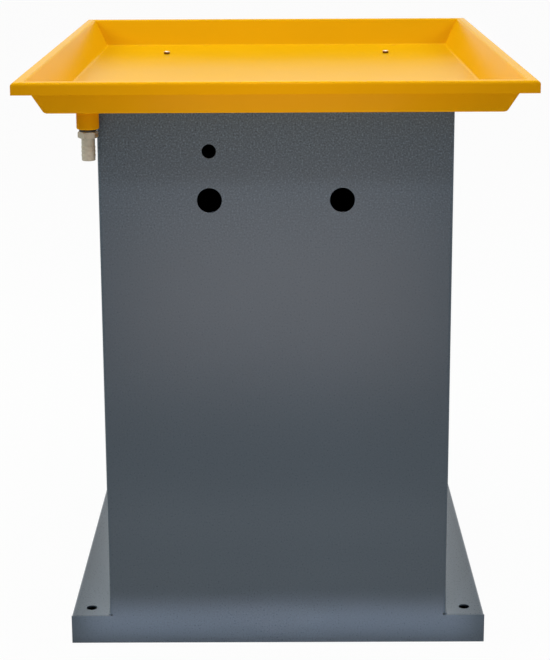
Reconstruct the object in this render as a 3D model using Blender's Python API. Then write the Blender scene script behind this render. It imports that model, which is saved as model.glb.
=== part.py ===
"""Sheet-metal machine stand with a chip tray.

A folded column on a flanged base carries a pan with leaning walls and a turned-down rim. A drain with a
hose barb hangs under one front corner of the pan, and a hinged door at the rear opens the cabinet inside
the column.

Metres, +Z up. The panel with the hose holes faces -Y and the door faces +Y. The origin is on the floor,
under the middle of the column.
"""

import math

import bmesh
import bpy
from mathutils import Matrix, Vector

# Sheet and fits
SHEET = 0.002  # wall of the panels, the door and the tray
RAIL_SHEET = 0.003  # wall of the two rails under the tray
BEND = 0.003  # outside radius of a fold
BEND_STEPS = 4
FIT = 0.0003  # gap between two pieces that touch
ROUND_STEPS = 24  # sides of a turned piece

# Column and base
COLUMN_WIDTH = 0.400
COLUMN_DEPTH = 0.600
COLUMN_HEIGHT = 0.644  # floor to the seat of the tray
BASE_FLANGE = 0.046  # how far the base stands out on each side
BASE_HEIGHT = 0.0345
FLANGE_BEND = 0.0035  # inside radius where a side turns out into the flange
SKIRT_LIP = 0.012  # inward fold under the base
PANEL_RETURN = 0.020  # fold along the upright edges of the front and rear panels
RELIEF_HEIGHT = 0.0025  # slot that ends that fold above the base
RELIEF_DEPTH = 0.0045
FLOOR_LIP = 0.025  # downward fold round the cabinet floor

# Holes in the front panel, measured down from the seat of the tray
HOSE_HOLE = 0.028
HOSE_HOLE_SPACING = 0.150
HOSE_HOLE_DROP = 0.1055
CABLE_HOLE = 0.016
CABLE_HOLE_DROP = 0.0495

# Anchor holes in the base flanges
ANCHOR_HOLE = 0.0125
ANCHOR_FROM_SIDE = 0.022
ANCHOR_FROM_END = 0.024

# Chip tray
TRAY_OVERHANG_SIDE = 0.0825  # rim past the column
TRAY_OVERHANG_END = 0.080
TRAY_DEPTH = 0.036  # floor to rim
TRAY_WALL_RUN = 0.0195  # how far a wall leans out
TRAY_RIM = 0.0132  # flat rim
TRAY_LIP = 0.0135  # turned-down edge of the rim
TRAY_BEND = 0.004

# Bolts through the tray, and the rails that take them
BOLT_FROM_SIDE = 0.0455  # in from the side of the column
BOLT_FROM_END = 0.071  # in from the front or rear of the column
BOLT = 0.005
BOLT_HEAD_FLATS = 0.008
BOLT_HEAD = 0.0035
BOLT_PAST_NUT = 0.002
NUT_FLATS = 0.008
NUT_HEIGHT = 0.0045
WASHER = 0.010
WASHER_THICKNESS = 0.0010
CHAMFER = 0.0006  # on the corners of a hexagon
SEAT_EDGE = 0.0145  # metal beyond a bolt in the fold that it passes through
RAIL_WIDTH = 0.060
RAIL_LEG = 0.030

# Drain
DRAIN_FROM_SIDE = 0.007  # out from the side of the column
BOSS = 0.0250
BOSS_LENGTH = 0.0198
BOSS_BORE = 0.0170
BOSS_CHAMFER = 0.0015
SEAL = 0.0195
SEAL_THICKNESS = 0.0020
HEX_FLATS = 0.0200
HEX_HEIGHT = 0.0074
HEX_TURN = math.radians(30)  # a flat of the tightened barb faces the front
STUB_LENGTH = 0.012  # threaded end inside the boss
BARB_BORE = 0.0100
BARB_NECK = 0.0150
BARB_RIDGE = 0.0157
BARB_PLAIN = 0.0091  # smooth length under the hexagon
BARB_PITCH = 0.0045
BARB_RIDGES = 3
BARB_TIP = 0.0025

# Rear door
DOOR_STILE = 0.047  # metal beside the opening
DOOR_SILL = 0.087  # floor to the opening
DOOR_HEAD = 0.071  # opening to the seat of the tray
DOOR_GAP = 0.003
DOOR_FOLD = 0.015  # folds round the door and round its opening
HINGE_FROM_END = 0.060
HINGE_HALF = 0.030  # height of one leaf
HINGE_LEAF = 0.022
HINGE_ROLL = math.radians(295)  # how far a leaf is rolled round its pin
PIN = 0.005
PIN_HEAD = 0.008
PIN_HEAD_HEIGHT = 0.002

# Turn lock on the door
LOCK_FROM_EDGE = 0.030
LOCK_FLANGE = 0.026
LOCK_FLANGE_HEIGHT = 0.002
LOCK_BARREL = 0.018
LOCK_NUT_FLATS = 0.024
LOCK_NUT_HEIGHT = 0.004
SPINDLE = 0.008
KNOB_BASE = 0.022
KNOB_LENGTH = 0.032
KNOB_WIDTH = 0.010
KNOB_HEIGHT = 0.018
CAM_THICKNESS = 0.0025
CAM_WIDTH = 0.016
CAM_CLEARANCE = 0.0015  # behind the folds
CAM_BITE = 0.006  # past the fold of the opening
SCREW = 0.004
SCREW_LENGTH = 0.007
SCREW_HEAD = 0.011
SCREW_HEAD_HEIGHT = 0.0025

# Places that several pieces share
HALF_WIDTH = COLUMN_WIDTH / 2
HALF_DEPTH = COLUMN_DEPTH / 2
BASE_HALF = HALF_WIDTH + BASE_FLANGE
TOP_FLANGE = BOLT_FROM_SIDE + SEAT_EDGE
TRAY_UNDERSIDE = COLUMN_HEIGHT + FIT
TRAY_FLOOR = TRAY_UNDERSIDE + SHEET
FLOOR_HALF_X = HALF_WIDTH + TRAY_OVERHANG_SIDE - TRAY_RIM - TRAY_WALL_RUN
FLOOR_HALF_Y = HALF_DEPTH + TRAY_OVERHANG_END - TRAY_RIM - TRAY_WALL_RUN
RAIL_TOP = COLUMN_HEIGHT - SHEET - FIT
RAIL_UNDERSIDE = RAIL_TOP - RAIL_SHEET
BOLT_X = HALF_WIDTH - BOLT_FROM_SIDE
BOLT_Y = HALF_DEPTH - BOLT_FROM_END
BOLT_HOLE = BOLT + 2 * FIT
DRAIN_X = -(HALF_WIDTH + DRAIN_FROM_SIDE)
DRAIN_Y = -(HALF_DEPTH + FLOOR_HALF_Y) / 2  # middle of the strip of floor in front of the column
OPENING_HALF = HALF_WIDTH - DOOR_STILE
OPENING_LOW = DOOR_SILL
OPENING_HIGH = COLUMN_HEIGHT - DOOR_HEAD
EYE_RADIUS = PIN / 2 + FIT + SHEET
HINGE_X = OPENING_HALF - DOOR_GAP / 2
HINGE_Y = HALF_DEPTH + FIT + EYE_RADIUS
LOCK_X = -(OPENING_HALF - DOOR_GAP - LOCK_FROM_EDGE)
LOCK_Z = (OPENING_LOW + OPENING_HIGH) / 2

PAINTS = {
    "grey_paint": ((0.080, 0.096, 0.114), 0.45, 0.0),
    "yellow_paint": ((0.871, 0.456, 0.004), 0.25, 0.0),
    "zinc": ((0.62, 0.60, 0.56), 0.35, 1.0),
    "nickel": ((0.60, 0.54, 0.45), 0.28, 1.0),
    "rubber": ((0.015, 0.015, 0.015), 0.70, 0.0),
    "black_plastic": ((0.020, 0.020, 0.022), 0.50, 0.0),
}


def paint(name):
    """The material of that name, made on first use."""
    found = bpy.data.materials.get(name)
    if found:
        return found
    colour, roughness, metallic = PAINTS[name]
    made = bpy.data.materials.new(name)
    made.use_nodes = True
    shader = made.node_tree.nodes["Principled BSDF"]
    shader.inputs["Base Color"].default_value = (*colour, 1.0)
    shader.inputs["Roughness"].default_value = roughness
    shader.inputs["Metallic"].default_value = metallic
    made.diffuse_color = (*colour, 1.0)
    return made


def add_object(name, bm, finish, parent=None):
    """A scene object that holds the mesh built in bm."""
    mesh = bpy.data.meshes.new(name)
    bm.to_mesh(mesh)
    bm.free()
    mesh.shade_smooth()
    mesh.set_sharp_from_angle(angle=math.radians(32))
    return add_copy(name, mesh, finish, parent)


def add_copy(name, mesh, finish, parent=None):
    if not mesh.materials:
        mesh.materials.append(paint(finish))
    obj = bpy.data.objects.new(name, mesh)
    bpy.context.scene.collection.objects.link(obj)
    obj.parent = parent
    return obj


def add_axis(name, location, parent=None):
    """An empty on a joint's axis, which carries the pieces that turn there."""
    axis = bpy.data.objects.new(name, None)
    bpy.context.scene.collection.objects.link(axis)
    axis.parent = parent
    axis.location = location
    return axis


def thicken(obj, wall):
    """Gives a sheet its wall, on the side away from its normals."""
    modifier = obj.modifiers.new("Wall", "SOLIDIFY")
    modifier.thickness = wall
    modifier.offset = -1.0
    modifier.use_even_offset = True


def cut(obj, name, bm):
    """Takes the shape in bm, given in obj's own frame, out of obj."""
    mesh = bpy.data.meshes.new(name)
    bm.to_mesh(mesh)
    bm.free()
    tool = bpy.data.objects.new(name, mesh)
    bpy.context.scene.collection.objects.link(tool)
    tool.parent = obj
    tool.hide_render = True
    tool.display_type = "WIRE"
    modifier = obj.modifiers.new(name, "BOOLEAN")
    modifier.operation = "DIFFERENCE"
    modifier.object = tool


def rod(diameter, length, axis, centre):
    """A solid cylinder along Y or Z."""
    bm = bmesh.new()
    turn = Matrix.Rotation(math.pi / 2, 4, "X") if axis == "Y" else Matrix()
    bmesh.ops.create_cone(
        bm,
        cap_ends=True,
        segments=ROUND_STEPS,
        radius1=diameter / 2,
        radius2=diameter / 2,
        depth=length,
        matrix=Matrix.Translation(centre) @ turn,
    )
    return bm


def block(low, high):
    """A solid box between two corners."""
    low, high = Vector(low), Vector(high)
    bm = bmesh.new()
    place = Matrix.Translation((low + high) / 2) @ Matrix.Diagonal((*(high - low), 1))
    bmesh.ops.create_cube(bm, size=1.0, matrix=place)
    return bm


def face_out(bm, outward):
    """Makes the faces of a sheet agree, with the largest one facing outward."""
    bmesh.ops.recalc_face_normals(bm, faces=bm.faces)
    largest = max(bm.faces, key=lambda face: face.calc_area())
    if largest.normal.dot(outward) < 0:
        bmesh.ops.reverse_faces(bm, faces=bm.faces)


def flat_blank(x_lines, z_lines, keep):
    """A flat sheet in the XZ plane facing -Y, slit along the lines, less the cells that keep() turns down."""
    bm = bmesh.new()
    bmesh.ops.create_grid(bm, x_segments=1, y_segments=1, size=0.5)
    size = (x_lines[-1] - x_lines[0], z_lines[-1] - z_lines[0], 1, 1)
    middle = ((x_lines[-1] + x_lines[0]) / 2, 0, (z_lines[-1] + z_lines[0]) / 2)
    bm.transform(Matrix.Translation(middle) @ Matrix.Rotation(math.pi / 2, 4, "X") @ Matrix.Diagonal(size))
    slits = [((x, 0, 0), (1, 0, 0)) for x in x_lines[1:-1]] + [((0, 0, z), (0, 0, 1)) for z in z_lines[1:-1]]
    for point, normal in slits:
        bmesh.ops.bisect_plane(bm, geom=[*bm.verts, *bm.edges, *bm.faces], plane_co=point, plane_no=normal)
    waste = [face for face in bm.faces if not keep(face.calc_center_median())]
    bmesh.ops.delete(bm, geom=waste, context="FACES")
    return bm


def fold(bm, edges, direction):
    """Turns a strip off the given edges and returns its new corners."""
    made = bmesh.ops.extrude_edge_only(bm, edges=edges)["geom"]
    corners = [item for item in made if isinstance(item, bmesh.types.BMVert)]
    bmesh.ops.translate(bm, verts=corners, vec=direction)
    return corners


def round_bend(bm, edges, radius, turn=math.pi / 2):
    """Rolls a sharp fold of that turn to a radius."""
    bmesh.ops.bevel(
        bm,
        geom=edges,
        offset=radius * math.tan(turn / 2),
        offset_type="OFFSET",
        segments=BEND_STEPS,
        profile=0.5,
        affect="EDGES",
    )


def bent_path(corners, radii):
    """An open path in a plane, with each inner corner rounded to its radius."""
    points = [Vector(corner) for corner in corners]
    path = [points[0]]
    for before, corner, after, radius in zip(points, points[1:], points[2:], radii):
        back = (before - corner).normalized()
        ahead = (after - corner).normalized()
        turn = math.pi - back.angle(ahead)
        centre = corner + (back + ahead).normalized() * radius / math.cos(turn / 2)
        spoke = corner + back * radius * math.tan(turn / 2) - centre
        sign = math.copysign(1.0, ahead.cross(back))
        for step in range(BEND_STEPS + 1):
            path.append(centre + Matrix.Rotation(sign * turn * step / BEND_STEPS, 2) @ spoke)
    path.append(points[-1])
    return path


def drawn_sheet(path, across, up, start, end):
    """A sheet drawn from a path in the plane of two axes, along their cross product.

    Its normals are on the right of the path, so its wall goes on the left.
    """
    across, up = Vector(across), Vector(up)
    along = across.cross(up)
    bm = bmesh.new()
    verts = [bm.verts.new(across * u + up * v + along * start) for u, v in path]
    edges = [bm.edges.new(pair) for pair in zip(verts, verts[1:])]
    fold(bm, edges, along * (end - start))
    bm.normal_update()
    first = path[1] - path[0]
    right = across * first.y - up * first.x
    bm.faces.ensure_lookup_table()
    if edges[0].link_faces[0].normal.dot(right) < 0:
        bmesh.ops.reverse_faces(bm, faces=bm.faces)
    return bm


def circle(diameter):
    return lambda angle: diameter / 2


def hexagon(flats):
    return lambda angle: flats / 2 / math.cos((angle + math.pi / 6) % (math.pi / 3) - math.pi / 6)


def oval(length, width):
    return lambda angle: length * width / 2 / math.hypot(width * math.cos(angle), length * math.sin(angle))


def lofted(sections, bored=False):
    """A piece round the Z axis through its sections, each a height and an outline.

    A bored piece closes from its last section back to its first.
    """
    bm = bmesh.new()
    angles = [2 * math.pi * step / ROUND_STEPS for step in range(ROUND_STEPS)]
    rings = []
    for height, outline in sections:
        spots = [(outline(a) * math.cos(a), outline(a) * math.sin(a), height) for a in angles]
        rings.append([bm.verts.new(spot) for spot in spots])
    for ring, following in zip(rings, rings[1:] + rings[:1] if bored else rings[1:]):
        for here, there in zip(range(ROUND_STEPS), [*range(1, ROUND_STEPS), 0]):
            bm.faces.new((ring[here], following[here], following[there], ring[there]))
    if not bored:
        bm.faces.new(rings[0])
        bm.faces.new(rings[-1])
    bmesh.ops.recalc_face_normals(bm, faces=bm.faces)
    return bm


def ring(outer, bore, low, high):
    """A plain ring between two heights."""
    sections = [(high, outer), (low, outer), (low, bore), (high, bore)]
    return lofted([(height, circle(diameter)) for height, diameter in sections], bored=True)


def hex_nut(flats, bore, height):
    """A nut with chamfered corners, hanging down from its seat at height 0."""
    return lofted(
        [
            (0, circle(flats)),
            (-CHAMFER, hexagon(flats)),
            (CHAMFER - height, hexagon(flats)),
            (-height, circle(flats)),
            (-height, circle(bore)),
            (0, circle(bore)),
        ],
        bored=True,
    )


def tee_panel(name, opening):
    """A front or rear panel: column face and base skirt in one sheet, with the upright edges folded in.

    Its outer face is in its own XZ plane and faces -Y. An opening's edges are folded in too.
    """

    def keep(middle):
        if middle.z < BASE_HEIGHT:
            return True
        if abs(middle.x) > HALF_WIDTH:
            return False
        if middle.z < BASE_HEIGHT + RELIEF_HEIGHT:
            return abs(middle.x) < HALF_WIDTH - RELIEF_DEPTH
        in_opening = abs(middle.x) < OPENING_HALF and OPENING_LOW < middle.z < OPENING_HIGH
        return not (opening and in_opening)

    right = [HALF_WIDTH - RELIEF_DEPTH, HALF_WIDTH, BASE_HALF]
    z_lines = [0, BASE_HEIGHT, BASE_HEIGHT + RELIEF_HEIGHT, COLUMN_HEIGHT]
    if opening:
        right.append(OPENING_HALF)
        z_lines += [OPENING_LOW, OPENING_HIGH]
    bm = flat_blank(sorted([-x for x in right] + right), sorted(z_lines), keep)

    def in_fold(edge):
        a, b = (vert.co for vert in edge.verts)
        upright = math.isclose(a.x, b.x, abs_tol=1e-6)
        at_side = upright and math.isclose(abs(a.x), HALF_WIDTH, abs_tol=1e-6)
        above_base = min(a.z, b.z) > BASE_HEIGHT + RELIEF_HEIGHT / 2
        middle = (a + b) / 2
        between_stiles = abs(middle.x) < OPENING_HALF + 1e-6
        round_opening = between_stiles and OPENING_LOW - 1e-6 < middle.z < OPENING_HIGH + 1e-6
        return edge.is_boundary and above_base and (at_side or (opening and round_opening))

    bends = [edge for edge in bm.edges if in_fold(edge)]
    at_sides = [edge for edge in bends if abs(edge.verts[0].co.x) > OPENING_HALF + 1e-6]
    fold(bm, at_sides, (0, PANEL_RETURN, 0))
    fold(bm, [edge for edge in bends if edge not in at_sides], (0, DOOR_FOLD, 0))
    round_bend(bm, bends, BEND)
    face_out(bm, Vector((0, -1, 0)))
    panel = add_object(name, bm, "grey_paint")
    thicken(panel, SHEET)
    return panel


def front_panel():
    panel = tee_panel("front_panel", opening=False)
    panel.location = (0, -HALF_DEPTH, 0)
    holes = (
        ("left_hose_hole", HOSE_HOLE, -HOSE_HOLE_SPACING / 2, HOSE_HOLE_DROP),
        ("right_hose_hole", HOSE_HOLE, HOSE_HOLE_SPACING / 2, HOSE_HOLE_DROP),
        ("cable_hole", CABLE_HOLE, -HOSE_HOLE_SPACING / 2, CABLE_HOLE_DROP),
    )
    for name, diameter, x, drop in holes:
        cut(panel, name, rod(diameter, 4 * SHEET, "Y", (x, SHEET / 2, COLUMN_HEIGHT - drop)))


def rear_panel():
    panel = tee_panel("rear_panel", opening=True)
    panel.location = (0, HALF_DEPTH, 0)
    panel.rotation_euler = (0, 0, math.pi)


def side_panel(name, turn):
    """A side of the column, folded in at the top and out at the foot into a flange, a skirt and a lip."""
    corners = [
        (TOP_FLANGE - HALF_WIDTH, COLUMN_HEIGHT),
        (-HALF_WIDTH, COLUMN_HEIGHT),
        (-HALF_WIDTH, BASE_HEIGHT),
        (-BASE_HALF, BASE_HEIGHT),
        (-BASE_HALF, 0),
        (SKIRT_LIP - BASE_HALF, 0),
    ]
    length = COLUMN_DEPTH - 2 * (SHEET + FIT)
    path = bent_path(corners, [BEND, FLANGE_BEND, BEND, BEND])
    panel = add_object(name, drawn_sheet(path, (1, 0, 0), (0, 0, 1), -length / 2, length / 2), "grey_paint")
    panel.rotation_euler = (0, 0, turn)
    thicken(panel, SHEET)
    for end in (-1, 1):
        place = name + ("_front" if end < 0 else "_rear")
        near = end * (HALF_DEPTH - PANEL_RETURN - FIT)
        far = end * HALF_DEPTH
        notch = block(
            (-HALF_WIDTH - SHEET, min(near, far), BASE_HEIGHT + RELIEF_HEIGHT),
            (TOP_FLANGE - HALF_WIDTH + SHEET, max(near, far), COLUMN_HEIGHT + SHEET),
        )
        cut(panel, place + "_notch", notch)
        anchor = (ANCHOR_FROM_SIDE - BASE_HALF, end * (HALF_DEPTH - ANCHOR_FROM_END), BASE_HEIGHT - SHEET / 2)
        cut(panel, place + "_anchor_hole", rod(ANCHOR_HOLE, 4 * SHEET, "Z", anchor))
        seat = (-BOLT_X, end * BOLT_Y, COLUMN_HEIGHT - SHEET / 2)
        cut(panel, place + "_bolt_hole", rod(BOLT_HOLE, 4 * SHEET, "Z", seat))


def cabinet_floor():
    """A plate between the walls at the height of the base, with its edges folded down."""
    half_x = HALF_WIDTH - SHEET - FIT
    half_y = HALF_DEPTH - SHEET - FIT
    bm = flat_blank([-half_x, half_x], [-half_y, half_y], lambda middle: True)
    bends = list(bm.edges)
    fold(bm, bends, (0, FLOOR_LIP, 0))
    round_bend(bm, bends, BEND)
    face_out(bm, Vector((0, -1, 0)))
    bm.transform(Matrix.Rotation(-math.pi / 2, 4, "X"))
    plate = add_object("cabinet_floor", bm, "grey_paint")
    plate.location = (0, 0, BASE_HEIGHT)
    thicken(plate, SHEET)


def top_rail(name, y):
    """A channel across the column, under the folds that the tray is bolted through."""
    half = RAIL_WIDTH / 2
    corners = [(half, -RAIL_LEG), (half, 0), (-half, 0), (-half, -RAIL_LEG)]
    reach = HALF_WIDTH - SHEET - BEND
    path = bent_path(corners, [BEND + RAIL_SHEET - SHEET] * 2)
    rail = add_object(name, drawn_sheet(path, (0, 1, 0), (0, 0, 1), -reach, reach), "grey_paint")
    rail.location = (0, y, RAIL_TOP)
    thicken(rail, RAIL_SHEET)
    for side, x in (("left", -BOLT_X), ("right", BOLT_X)):
        cut(rail, f"{name}_{side}_hole", rod(BOLT_HOLE, 4 * RAIL_SHEET, "Z", (x, 0, -RAIL_SHEET / 2)))


def chip_tray():
    """A pan folded from one sheet: floor, leaning walls, flat rim and turned-down lip, mitred at the corners.

    The floor between the two rows of bolts is a face of its own, the seat of the machine.
    """
    bm = bmesh.new()
    bmesh.ops.create_grid(bm, x_segments=1, y_segments=1, size=1.0)
    bm.transform(Matrix.Diagonal((FLOOR_HALF_X, FLOOR_HALF_Y, 1, 1)))
    lean = math.atan2(TRAY_DEPTH, TRAY_WALL_RUN)
    strips = (
        (TRAY_WALL_RUN, TRAY_DEPTH, lean),
        (TRAY_RIM, 0, lean),
        (0, -TRAY_LIP, math.pi / 2),
    )
    bends = []
    for grow, rise, turn in strips:
        edges = [edge for edge in bm.edges if edge.is_boundary]
        for corner in fold(bm, edges, (0, 0, rise)):
            corner.co.x += math.copysign(grow, corner.co.x)
            corner.co.y += math.copysign(grow, corner.co.y)
        bends.append((edges, turn))
    for edges, turn in bends:
        round_bend(bm, edges, TRAY_BEND, turn)
    floor = max(bm.faces, key=lambda face: face.calc_area())
    edge_x = max(vert.co.x for vert in floor.verts)
    margin = edge_x - BOLT_X + BOLT_HEAD_FLATS
    bmesh.ops.inset_individual(bm, faces=[floor], thickness=margin, use_even_offset=True)
    face_out(bm, Vector((0, 0, 1)))
    tray = add_object("chip_tray", bm, "yellow_paint")
    tray.location = (0, 0, TRAY_FLOOR)
    thicken(tray, SHEET)
    cut(tray, "tray_drain_hole", rod(BOSS_BORE, 4 * SHEET, "Z", (DRAIN_X, DRAIN_Y, -SHEET / 2)))
    for name, x, y in bolt_places():
        cut(tray, f"tray_hole_{name}", rod(BOLT_HOLE, 4 * SHEET, "Z", (x, y, -SHEET / 2)))


def bolt_places():
    sides = (("left", -BOLT_X), ("right", BOLT_X))
    ends = (("front", -BOLT_Y), ("rear", BOLT_Y))
    return [(f"{end}_{side}", x, y) for end, y in ends for side, x in sides]


def tray_bolts():
    """Four hexagon bolts through tray, fold and rail, each with a washer and a nut under the rail."""
    washer_top = RAIL_UNDERSIDE - FIT
    nut_top = washer_top - WASHER_THICKNESS - FIT
    length = TRAY_FLOOR + FIT - (nut_top - NUT_HEIGHT - BOLT_PAST_NUT)
    bolt = lofted(
        [
            (BOLT_HEAD, circle(BOLT_HEAD_FLATS)),
            (BOLT_HEAD - CHAMFER, hexagon(BOLT_HEAD_FLATS)),
            (0, hexagon(BOLT_HEAD_FLATS)),
            (0, circle(BOLT)),
            (CHAMFER - length, circle(BOLT)),
            (-length, circle(BOLT - 2 * CHAMFER)),
        ]
    )
    pieces = (
        ("tray_bolt", bolt, TRAY_FLOOR + FIT),
        ("tray_washer", ring(WASHER, BOLT_HOLE, -WASHER_THICKNESS, 0), washer_top),
        ("tray_nut", hex_nut(NUT_FLATS, BOLT_HOLE, NUT_HEIGHT), nut_top),
    )
    for kind, bm, height in pieces:
        mesh = None
        for place, x, y in bolt_places():
            name = f"{kind}_{place}"
            obj = add_copy(name, mesh, "zinc") if mesh else add_object(name, bm, "zinc")
            mesh = obj.data
            obj.location = (x, y, height)


def drain():
    """A boss under the tray, a seal and a hose barb whose stub goes up into the boss."""
    boss_low = -BOSS_LENGTH
    boss = lofted(
        [
            (0, circle(BOSS)),
            (boss_low + BOSS_CHAMFER, circle(BOSS)),
            (boss_low, circle(BOSS - 2 * BOSS_CHAMFER)),
            (boss_low, circle(BOSS_BORE)),
            (0, circle(BOSS_BORE)),
        ],
        bored=True,
    )
    stub = BOSS_BORE - 2 * FIT
    seal_top = boss_low - FIT
    hex_top = seal_top - SEAL_THICKNESS - FIT
    hex_low = hex_top - HEX_HEIGHT
    barb = [
        (hex_top + STUB_LENGTH, circle(stub - 2 * CHAMFER)),
        (hex_top + STUB_LENGTH - CHAMFER, circle(stub)),
        (hex_top, circle(stub)),
        (hex_top, circle(HEX_FLATS)),
        (hex_top - CHAMFER, hexagon(HEX_FLATS)),
        (hex_low + CHAMFER, hexagon(HEX_FLATS)),
        (hex_low, circle(HEX_FLATS)),
        (hex_low, circle(BARB_NECK)),
    ]
    height = hex_low - BARB_PLAIN
    for _ in range(BARB_RIDGES):
        barb.append((height, circle(BARB_NECK)))
        barb.append((height, circle(BARB_RIDGE)))
        height -= BARB_PITCH
    barb.append((height, circle(BARB_NECK)))
    barb.append((height - BARB_TIP, circle((BARB_NECK + BARB_BORE) / 2)))
    barb.append((height - BARB_TIP, circle(BARB_BORE)))
    barb.append((hex_top + STUB_LENGTH, circle(BARB_BORE)))
    pieces = (
        ("drain_boss", boss, "yellow_paint"),
        ("drain_seal", ring(SEAL, BOSS_BORE, seal_top - SEAL_THICKNESS, seal_top), "rubber"),
        ("hose_barb", lofted(barb, bored=True), "nickel"),
    )
    for name, bm, finish in pieces:
        piece = add_object(name, bm, finish)
        piece.location = (DRAIN_X, DRAIN_Y, TRAY_UNDERSIDE - FIT)
        piece.rotation_euler = (0, 0, HEX_TURN)


def hinge_leaf():
    """One leaf, along +X against its seat, with its edge rolled round a pin on the Z axis."""
    start = 3 * math.pi / 2 - HINGE_ROLL
    steps = 6 * BEND_STEPS
    angles = [start + HINGE_ROLL * step / steps for step in range(steps + 1)]
    path = [Vector((EYE_RADIUS * math.cos(a), EYE_RADIUS * math.sin(a))) for a in angles]
    path.append(Vector((HINGE_LEAF, -EYE_RADIUS)))
    return drawn_sheet(path, (1, 0, 0), (0, 1, 0), 0, HINGE_HALF)


def hinges(door_axis):
    """Two lift-off hinges: the lower leaf is on the panel and holds the pin, the upper one is on the door."""
    mesh = None
    pin_length = 2 * HINGE_HALF + FIT
    pin = lofted(
        [
            (pin_length, circle(PIN - 2 * CHAMFER)),
            (pin_length - CHAMFER, circle(PIN)),
            (-FIT, circle(PIN)),
            (-FIT, circle(PIN_HEAD)),
            (-FIT - PIN_HEAD_HEIGHT, circle(PIN_HEAD)),
        ]
    )
    pin_mesh = None
    low = OPENING_LOW + DOOR_GAP + HINGE_FROM_END
    high = OPENING_HIGH - DOOR_GAP - HINGE_FROM_END - pin_length
    for place, height in (("lower", low), ("upper", high)):
        name = f"{place}_hinge_panel_leaf"
        leaf = add_copy(name, mesh, "zinc") if mesh else add_object(name, hinge_leaf(), "zinc")
        mesh = leaf.data
        leaf.location = (HINGE_X, HINGE_Y, height)
        thicken(leaf, SHEET)
        name = f"{place}_hinge_pin"
        shaft = add_copy(name, pin_mesh, "zinc") if pin_mesh else add_object(name, pin, "zinc")
        pin_mesh = shaft.data
        shaft.location = (HINGE_X, HINGE_Y, height)
        turned = add_copy(f"{place}_hinge_door_leaf", mesh, "zinc", door_axis)
        turned.location = (0, 0, height + pin_length)
        turned.rotation_euler = (0, math.pi, 0)
        thicken(turned, SHEET)


def rear_door(door_axis):
    """A shallow pan, flush in its opening."""
    half = OPENING_HALF - DOOR_GAP
    bm = flat_blank([-half, half], [OPENING_LOW + DOOR_GAP, OPENING_HIGH - DOOR_GAP], lambda middle: True)
    bends = list(bm.edges)
    fold(bm, bends, (0, DOOR_FOLD, 0))
    round_bend(bm, bends, BEND)
    face_out(bm, Vector((0, -1, 0)))
    door = add_object("rear_door", bm, "grey_paint", door_axis)
    door.location = (-HINGE_X, HALF_DEPTH - HINGE_Y, 0)
    door.rotation_euler = (0, 0, math.pi)
    thicken(door, SHEET)
    cut(door, "lock_hole", rod(LOCK_BARREL + 2 * FIT, 4 * SHEET, "Y", (-LOCK_X, SHEET / 2, LOCK_Z)))


def turn_lock(door_axis):
    """A quarter-turn lock. Its axis points out of the door, and the cam hangs down when it is open."""
    lock_axis = add_axis("lock_axis", (LOCK_X - HINGE_X, HALF_DEPTH - HINGE_Y, LOCK_Z), door_axis)
    lock_axis.rotation_euler = (-math.pi / 2, 0, 0)
    flange_top = FIT + LOCK_FLANGE_HEIGHT
    cam_front = -(DOOR_FOLD + CAM_CLEARANCE)
    cam_back = cam_front - CAM_THICKNESS
    barrel_end = cam_front + FIT
    bore = SPINDLE + 2 * FIT
    body = lofted(
        [
            (flange_top, circle(LOCK_FLANGE - 2 * CHAMFER)),
            (flange_top - CHAMFER, circle(LOCK_FLANGE)),
            (FIT, circle(LOCK_FLANGE)),
            (FIT, circle(LOCK_BARREL)),
            (barrel_end, circle(LOCK_BARREL)),
            (barrel_end, circle(bore)),
            (flange_top, circle(bore)),
        ],
        bored=True,
    )
    knob_low = flange_top + FIT
    spindle_end = cam_back + FIT
    screw_bore = SCREW + 2 * FIT
    knob = lofted(
        [
            (knob_low + KNOB_HEIGHT, oval(KNOB_LENGTH - 6 * CHAMFER, KNOB_WIDTH - 6 * CHAMFER)),
            (knob_low + KNOB_HEIGHT - 2 * CHAMFER, oval(KNOB_LENGTH, KNOB_WIDTH)),
            (knob_low + KNOB_HEIGHT / 3, oval(KNOB_LENGTH, KNOB_WIDTH)),
            (knob_low + KNOB_HEIGHT / 5, circle(KNOB_BASE)),
            (knob_low, circle(KNOB_BASE)),
            (knob_low, circle(SPINDLE)),
            (spindle_end, circle(SPINDLE)),
            (spindle_end, circle(screw_bore)),
            (spindle_end + SCREW_LENGTH, circle(screw_bore)),
        ]
    )
    screw_seat = cam_back - FIT
    screw = lofted(
        [
            (screw_seat + SCREW_LENGTH, circle(SCREW)),
            (screw_seat, circle(SCREW)),
            (screw_seat, circle(SCREW_HEAD)),
            (screw_seat - SCREW_HEAD_HEIGHT, circle(SCREW_HEAD - 2 * CHAMFER)),
        ]
    )
    nut = hex_nut(LOCK_NUT_FLATS, LOCK_BARREL + 2 * FIT, LOCK_NUT_HEIGHT)
    bmesh.ops.translate(nut, verts=nut.verts, vec=(0, 0, -SHEET - FIT))
    reach = LOCK_FROM_EDGE + DOOR_GAP + SHEET + CAM_BITE
    cam = block((-CAM_WIDTH / 2, -CAM_WIDTH / 2, cam_back), (CAM_WIDTH / 2, reach, cam_front))
    corners = [edge for edge in cam.edges if edge.calc_length() < 1.01 * CAM_THICKNESS]
    round_bend(cam, corners, 0.45 * CAM_WIDTH)
    pieces = (
        ("lock_body", body, "zinc"),
        ("lock_nut", nut, "zinc"),
        ("lock_knob", knob, "black_plastic"),
        ("lock_cam", cam, "zinc"),
        ("lock_screw", screw, "zinc"),
    )
    made = {name: add_object(name, bm, finish, lock_axis) for name, bm, finish in pieces}
    cut(made["lock_cam"], "cam_hole", rod(bore, 4 * CAM_THICKNESS, "Z", (0, 0, (cam_front + cam_back) / 2)))


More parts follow.
